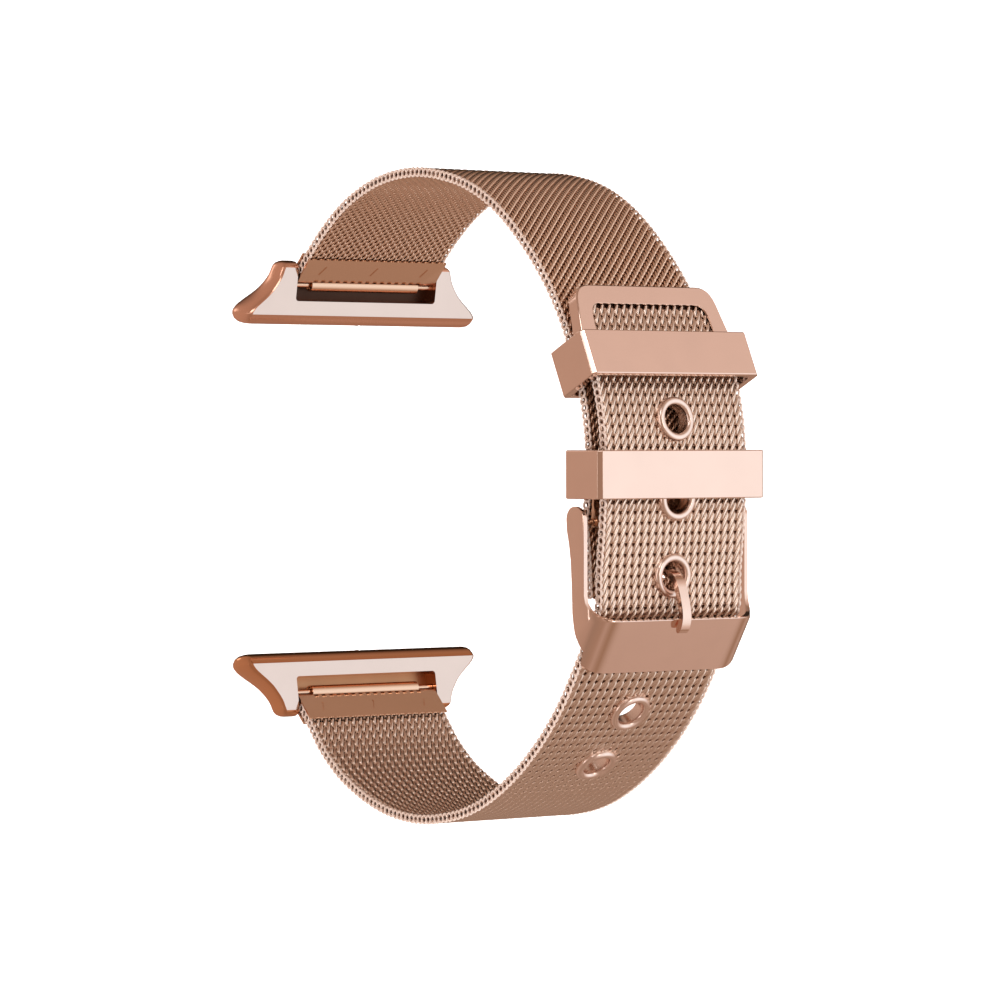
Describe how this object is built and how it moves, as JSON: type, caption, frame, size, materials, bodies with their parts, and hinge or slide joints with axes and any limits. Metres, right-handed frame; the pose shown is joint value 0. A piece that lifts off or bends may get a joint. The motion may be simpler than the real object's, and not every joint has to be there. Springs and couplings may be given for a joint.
{
  "type": "mesh watch band",
  "caption": "Rose-gold woven-mesh watch band buckled in a loop, with a pin buckle, eyelets, sliding keepers and slide-in lug adapters on sprung bars.",
  "frame": {"origin": "middle of the wrist opening, on the centre line of the band and half way between the two adapters", "axes": "+X across the band, +Y toward the watch, -Y toward the buckle, +Z from the hole strap's adapter to the buckle strap's adapter"},
  "size_m": [0.0344, 0.0645, 0.0754],
  "materials": {
    "woven_mesh": "rose-gold plated woven wire, satin",
    "polished_trim": "rose-gold plated steel, polished",
    "spring_steel": "bare stainless steel"
  },
  "bodies": {
    "band": {"buckle_strap": "woven_mesh", "hole_strap": "woven_mesh", "tail_tip_cap": "polished_trim", "eyelet_1": "polished_trim", "eyelet_2": "polished_trim", "eyelet_3": "polished_trim", "eyelet_4": "polished_trim", "eyelet_5": "polished_trim", "eyelet_6": "polished_trim", "buckle_hinge_loop": "polished_trim"},
    "upper_keeper": {"upper_keeper": "polished_trim"},
    "lower_keeper": {"lower_keeper": "polished_trim"},
    "buckle": {"buckle_frame": "polished_trim", "buckle_bar_tube": "spring_steel", "buckle_bar_spring": "spring_steel"},
    "buckle_tip_left": {"buckle_bar_tip_left": "spring_steel"},
    "buckle_tip_right": {"buckle_bar_tip_right": "spring_steel"},
    "tongue": {"tongue": "polished_trim"},
    "upper_end": {"buckle_strap_end": "woven_mesh", "upper_end_clamp": "polished_trim"},
    "upper_adapter": {"upper_adapter": "polished_trim", "upper_detent_spring": "spring_steel", "upper_bar_tube": "spring_steel", "upper_bar_spring": "spring_steel"},
    "upper_tip_left": {"upper_bar_tip_left": "spring_steel"},
    "upper_tip_right": {"upper_bar_tip_right": "spring_steel"},
    "upper_detent": {"upper_detent_plunger": "spring_steel"},
    "lower_end": {"hole_strap_end": "woven_mesh", "lower_end_clamp": "polished_trim"},
    "lower_adapter": {"lower_adapter": "polished_trim", "lower_detent_spring": "spring_steel", "lower_bar_tube": "spring_steel", "lower_bar_spring": "spring_steel"},
    "lower_tip_left": {"lower_bar_tip_left": "spring_steel"},
    "lower_tip_right": {"lower_bar_tip_right": "spring_steel"},
    "lower_detent": {"lower_detent_plunger": "spring_steel"}
  },
  "joints": [
    {"name": "lower_keeper_slide", "type": "slide", "parent": "band", "child": "lower_keeper", "axis": [0, 0, 1], "range_m": [-0.0006, 0.005]},
    {"name": "upper_keeper_slide", "type": "slide", "parent": "band", "child": "upper_keeper", "axis": [0, 0.4289, 0.9033], "range_m": [-0.001, 0.004]},
    {"name": "buckle_hinge", "type": "hinge", "parent": "band", "child": "buckle", "pos_m": [0, -0.02825, -0.0032], "axis": [1, 0, 0], "range_deg": [0, 2.5]},
    {"name": "tongue_hinge", "type": "hinge", "parent": "buckle", "child": "tongue", "pos_m": [0, -0.02825, -0.0032], "axis": [1, 0, 0], "range_deg": [-1.8, 0]},
    {"name": "buckle_tip_left_slide", "type": "slide", "parent": "buckle", "child": "buckle_tip_left", "axis": [1, 0, 0], "range_m": [0, 0.0008], "stiffness_N_per_m": 400, "springref_m": -0.001},
    {"name": "buckle_tip_right_slide", "type": "slide", "parent": "buckle", "child": "buckle_tip_right", "axis": [-1, 0, 0], "range_m": [0, 0.0008], "stiffness_N_per_m": 400, "springref_m": -0.001},
    {"name": "upper_strap_flex", "type": "hinge", "parent": "band", "child": "upper_end", "pos_m": [0, 0.0196, 0.03295], "axis": [1, 0, 0], "range_deg": [-12, 12]},
    {"name": "upper_adapter_hinge", "type": "hinge", "parent": "upper_end", "child": "upper_adapter", "pos_m": [0, 0.0292, 0.0244], "axis": [1, 0, 0], "range_deg": [-35, 35]},
    {"name": "upper_tip_left_slide", "type": "slide", "parent": "upper_adapter", "child": "upper_tip_left", "axis": [1, 0, 0], "range_m": [0, 0.0008], "stiffness_N_per_m": 400, "springref_m": -0.001},
    {"name": "upper_tip_right_slide", "type": "slide", "parent": "upper_adapter", "child": "upper_tip_right", "axis": [-1, 0, 0], "range_m": [0, 0.0008], "stiffness_N_per_m": 400, "springref_m": -0.001},
    {"name": "upper_detent_slide", "type": "slide", "parent": "upper_adapter", "child": "upper_detent", "axis": [0, -0.1633, 0.9866], "range_m": [0, 0.0003], "stiffness_N_per_m": 300, "springref_m": -0.0006},
    {"name": "lower_strap_flex", "type": "hinge", "parent": "band", "child": "lower_end", "pos_m": [0, 0.0198, -0.03372], "axis": [-1, 0, 0], "range_deg": [-12, 12]},
    {"name": "lower_adapter_hinge", "type": "hinge", "parent": "lower_end", "child": "lower_adapter", "pos_m": [0, 0.0292, -0.0244], "axis": [-1, 0, 0], "range_deg": [-35, 35]},
    {"name": "lower_tip_left_slide", "type": "slide", "parent": "lower_adapter", "child": "lower_tip_left", "axis": [1, 0, 0], "range_m": [0, 0.0008], "stiffness_N_per_m": 400, "springref_m": -0.001},
    {"name": "lower_tip_right_slide", "type": "slide", "parent": "lower_adapter", "child": "lower_tip_right", "axis": [-1, 0, 0], "range_m": [0, 0.0008], "stiffness_N_per_m": 400, "springref_m": -0.001},
    {"name": "lower_detent_slide", "type": "slide", "parent": "lower_adapter", "child": "lower_detent", "axis": [0, -0.1633, -0.9866], "range_m": [0, 0.0003], "stiffness_N_per_m": 300, "springref_m": -0.0006}
  ]
}
